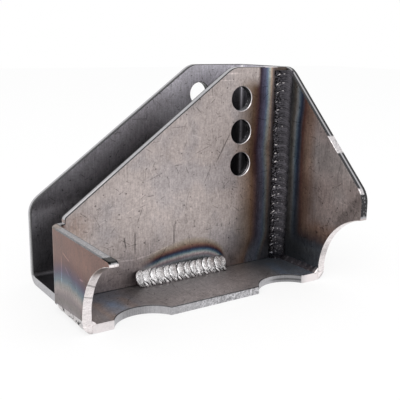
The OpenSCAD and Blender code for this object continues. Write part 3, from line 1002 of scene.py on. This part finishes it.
class BRACKET_OT_beads(Operator):
    """Lay the two fillet beads inside the tray"""

    bl_idname = "bracket.beads"
    bl_label = "Lay the fillet beads"

    def execute(self, context):
        sizes = context.scene.bracket_sizes
        finish = context.scene.bracket_finish
        bead = copy_of("floor_weld", "floor_bead")
        high = STITCH_HIGH.z - FLOOR_Z
        deep = PLATE_Y - STITCH_LOW.y
        across = Vector((0, deep, high)).normalized()
        outward = Vector((0, -high, deep)).normalized()
        middle = Vector((0, PLATE_Y - deep / 2, FLOOR_Z + high / 2)) - outward * 0.2
        slim(bead, Vector((0, PLATE_Y, FLOOR_Z)), (0.97, 0.95, 0.95))
        row = [Vector((x, middle.y, middle.z)) for x in (STITCH_LOW.x + 1.6, STITCH_HIGH.x - 2.4)]
        half = math.hypot(high, deep) / 2
        add_ripples(bead, row[0], row[1], sizes.stitch_pitch / MM, across, outward, half_width=half - 0.3,
                    thick=1.15, reach=1.05, tilt=sizes.ripple_tilt * 0.55, seed=3, stray=0.16)
        toe = outward * 0.35 - across * (half - 1.9) + Vector((1.2, 0, 0))
        add_ripples(bead, row[0] + toe, row[1] + toe, sizes.stitch_pitch / MM, across, outward,
                    half_width=2.5, thick=1.0, reach=0.2, tilt=0.0, seed=7, stray=0.2,
                    slant=math.radians(38))
        fuse(bead, sizes.bead_grain, stitch_material(finish))
        trim(bead, (0, PLATE_Y + 0.1, 0), (0, 1, 0))
        trim(bead, (0, 0, FLOOR_Z - 0.1), (0, 0, -1))
        seat(bead, "floor_weld")

        bead = copy_of("side_weld", "side_bead")
        wide = WALL_X - SIDE_LOW.x
        deep = PLATE_Y - SIDE_LOW.y
        across = Vector((wide, -deep, 0)).normalized()
        outward = Vector((-deep, -wide, 0)).normalized()
        middle = Vector((WALL_X - wide / 2, PLATE_Y - deep / 2, 0)) - outward * 0.3 + across * 0.6
        slim(bead, Vector((WALL_X, PLATE_Y, FLOOR_Z)), (0.9, 0.9, 1.0))
        row = [Vector((middle.x, middle.y, z)) for z in (SIDE_HIGH.z, SIDE_LOW.z)]
        add_ripples(bead, row[0], row[1], sizes.climb_pitch / MM, across, outward,
                    half_width=math.hypot(wide, deep) / 2 + 0.7, thick=1.35, reach=1.0,
                    tilt=sizes.ripple_tilt * 0.4, seed=5)
        fuse(bead, sizes.bead_grain, climb_material(finish, sizes.climb_pitch / MM))
        trim(bead, (0, PLATE_Y + 0.1, 0), (0, 1, 0))
        trim(bead, (WALL_X + 0.1, 0, 0), (1, 0, 0))
        trim(bead, (0, 0, SIDE_HIGH.z), (0, 0, 1))
        trim(bead, (0, 0, FLOOR_Z - 0.1), (0, 0, -1))
        seat(bead, "side_weld")
        return {"FINISHED"}


class BRACKET_OT_corners(Operator):
    """Lay the two outside corner beads"""

    bl_idname = "bracket.corners"
    bl_label = "Lay the corner beads"

    def execute(self, context):
        sizes = context.scene.bracket_sizes
        metal = bpy.data.materials.get("dressed bead") or corner_material(context.scene.bracket_finish)
        for side, node, name in ((-1, "left_corner_weld", "left_corner_bead"),
                                 (1, "right_corner_weld", "right_corner_bead")):
            low, high = node_box(node)
            bead = copy_of(node, name)
            outward = Vector((side, 0, -1)).normalized()
            across = Vector((side, 0, 1)).normalized()
            row = [Vector((side * CORNER_RIPPLE_X, y, CORNER_RIPPLE_Z)) for y in (low.y, high.y)]
            add_ripples(bead, row[0], row[1], sizes.corner_pitch / MM, across * side, outward,
                        half_width=3.9, thick=1.3, reach=1.1, tilt=sizes.ripple_tilt * 0.5, seed=11 + side)
            if side > 0:
                root = [Vector((WALL_X - 0.7, y, FLOOR_Z + 0.7)) for y in (low.y + 1.5, PLATE_Y - 4.0)]
                add_ripples(bead, root[0], root[1], sizes.corner_pitch * 1.6 / MM, -across,
                            Vector((-1, 0, 1)).normalized(), half_width=3.8, thick=0.95, reach=1.05,
                            tilt=sizes.ripple_tilt * 0.34, seed=17, stray=0.3)
            fuse(bead, sizes.bead_grain, metal)
            trim(bead, (0, low.y, 0), (0, -1, 0))
            trim(bead, (0, high.y, 0), (0, 1, 0))
            trim(bead, (0, 0, BACK_LOW.z), (0, 0, -1))
            trim(bead, (side * BACK_HIGH.x, 0, 0), (side, 0, 0))
            seat(bead, node)
        return {"FINISHED"}


class BRACKET_OT_stage(Operator):
    """Set the camera, the floor, the sky and the lamps"""

    bl_idname = "bracket.stage"
    bl_label = "Set the stage"

    def execute(self, context):
        stage = context.scene.bracket_stage
        context.scene.view_settings.view_transform = "Standard"

        heading = Vector((math.sin(stage.azimuth) * math.cos(stage.dip),
                          math.cos(stage.azimuth) * math.cos(stage.dip), -math.sin(stage.dip)))
        level = Vector((math.cos(stage.azimuth), -math.sin(stage.azimuth), 0.0))
        above = level.cross(heading)
        side = level * math.cos(stage.roll) + above * math.sin(stage.roll)
        top = above * math.cos(stage.roll) - level * math.sin(stage.roll)
        bpy.ops.object.select_all(action="DESELECT")
        bpy.ops.object.camera_add(location=tuple(stage.place))
        camera = context.active_object
        camera.rotation_euler = Matrix((side, top, -heading)).transposed().to_euler()
        camera.data.lens = stage.lens
        camera.data.sensor_width = 36.0
        camera.data.clip_start = 0.01
        context.scene.camera = camera

        bpy.ops.mesh.primitive_plane_add(size=6.0, location=(0, 0, 0))
        floor = context.active_object
        floor.name = "floor"
        floor.data.materials.append(floor_material())

        world = bpy.data.worlds.new("white sky")
        world.use_nodes = True
        context.scene.world = world
        tree = world.node_tree
        background = tree.nodes["Background"]
        background.inputs["Color"].default_value = (1, 1, 1, 1)
        seen = seen_rays(tree)
        tree.links.new((stage.sky + seen * (1 - stage.sky)).socket, background.inputs["Strength"])

        aim = Vector((0.0, 0.0, 0.05))
        for name, place, size, power in (
            ("key lamp", Vector((-0.75, -0.75, 1.0)), 0.9, stage.key),
            ("front lamp", Vector((-0.1, -1.2, 0.45)), 0.8, stage.key * 0.35),
        ):
            bpy.ops.object.light_add(type="AREA", location=place)
            lamp = context.active_object
            lamp.name = name
            lamp.data.size = size
            lamp.data.energy = power
            lamp.rotation_euler = (aim - place).to_track_quat("-Z", "Y").to_euler()
        return {"FINISHED"}


class VIEW3D_PT_bracket(Panel):
    """The bracket's sizes, finishes and steps"""

    bl_label = "Track bar bracket"
    bl_idname = "VIEW3D_PT_bracket"
    bl_space_type = "VIEW_3D"
    bl_region_type = "UI"
    bl_category = "Bracket"

    def draw(self, context):
        scene = context.scene
        for group in (scene.bracket_sizes, scene.bracket_finish, scene.bracket_stage):
            box = self.layout.box()
            for name in group.__annotations__:
                box.prop(group, name)
        for step in STEPS:
            self.layout.operator(step.bl_idname)


GROUPS = {"bracket_sizes": BracketSizes, "bracket_finish": BracketFinish, "bracket_stage": BracketStage}
STEPS = (BRACKET_OT_stage, BRACKET_OT_sheets, BRACKET_OT_beads, BRACKET_OT_corners)


def register():
    """Adds the classes and their settings to Blender."""
    for group in (*GROUPS.values(), *STEPS, VIEW3D_PT_bracket):
        bpy.utils.register_class(group)
    for name, group in GROUPS.items():
        setattr(bpy.types.Scene, name, PointerProperty(type=group))


def unregister():
    """Takes them out again."""
    for name in GROUPS:
        delattr(bpy.types.Scene, name)
    for group in reversed((*GROUPS.values(), *STEPS, VIEW3D_PT_bracket)):
        bpy.utils.unregister_class(group)


def main():
    """Builds the whole scene."""
    register()
    bpy.ops.bracket.stage()
    bpy.ops.bracket.sheets()
    bpy.ops.bracket.beads()
    bpy.ops.bracket.corners()


if __name__ == "__main__":
    main()
